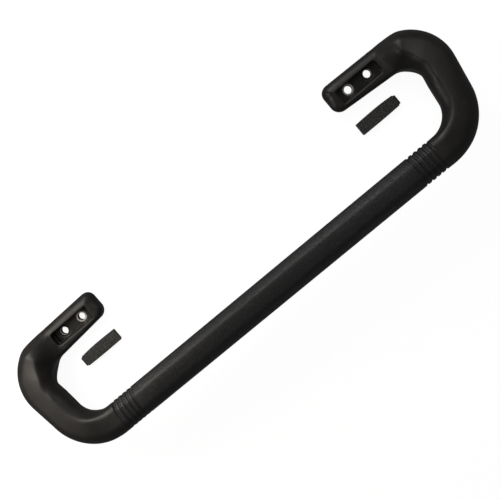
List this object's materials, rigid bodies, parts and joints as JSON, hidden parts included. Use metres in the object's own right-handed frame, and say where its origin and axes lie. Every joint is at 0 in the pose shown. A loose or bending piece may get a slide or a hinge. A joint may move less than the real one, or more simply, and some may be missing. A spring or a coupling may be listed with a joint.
{
  "type": "assist rail",
  "caption": "C-shaped screw-on assist rail: straight moulded grip, two rounded elbows, in-turned feet with screw pockets, and press-in screw covers shown lying beside the feet.",
  "frame": {"origin": "on the mounting face, on the screw line, halfway between the two feet", "axes": "+X along the grip and the screw line, +Y from the grip to the feet, +Z out of the mounting face towards the user"},
  "size_m": [0.5482, 0.1364, 0.0602],
  "materials": {
    "tube_steel": "plain steel tube under the moulding",
    "plate_steel": "plain steel plate under the moulding",
    "bush_steel": "dark plated steel bush, worn bright at its bore",
    "grip_skin": "black moulded polyurethane skin with a fine leather grain",
    "elbow_skin": "black moulded polyurethane skin, smoother and matte",
    "cover_skin": "dark grey-black matte strip with a fine stipple"
  },
  "bodies": {
    "rail": {"core_tube": "tube_steel", "left_foot_plate": "plate_steel", "right_foot_plate": "plate_steel", "grip_sleeve": "grip_skin", "left_elbow": "elbow_skin", "right_elbow": "elbow_skin", "left_inner_bush": "bush_steel", "left_outer_bush": "bush_steel", "right_inner_bush": "bush_steel", "right_outer_bush": "bush_steel"},
    "left_cover": {"left_screw_cover": "cover_skin"},
    "right_cover": {"right_screw_cover": "cover_skin"}
  },
  "joints": [
    {"name": "left_cover_carry", "type": "slide", "parent": "rail", "child": "left_cover", "axis": [-0.0791, 0.7358, 0.6725], "range_m": [0, 0.0505]},
    {"name": "right_cover_carry", "type": "slide", "parent": "rail", "child": "right_cover", "axis": [0.0791, 0.7358, 0.6725], "range_m": [0, 0.0505]}
  ]
}
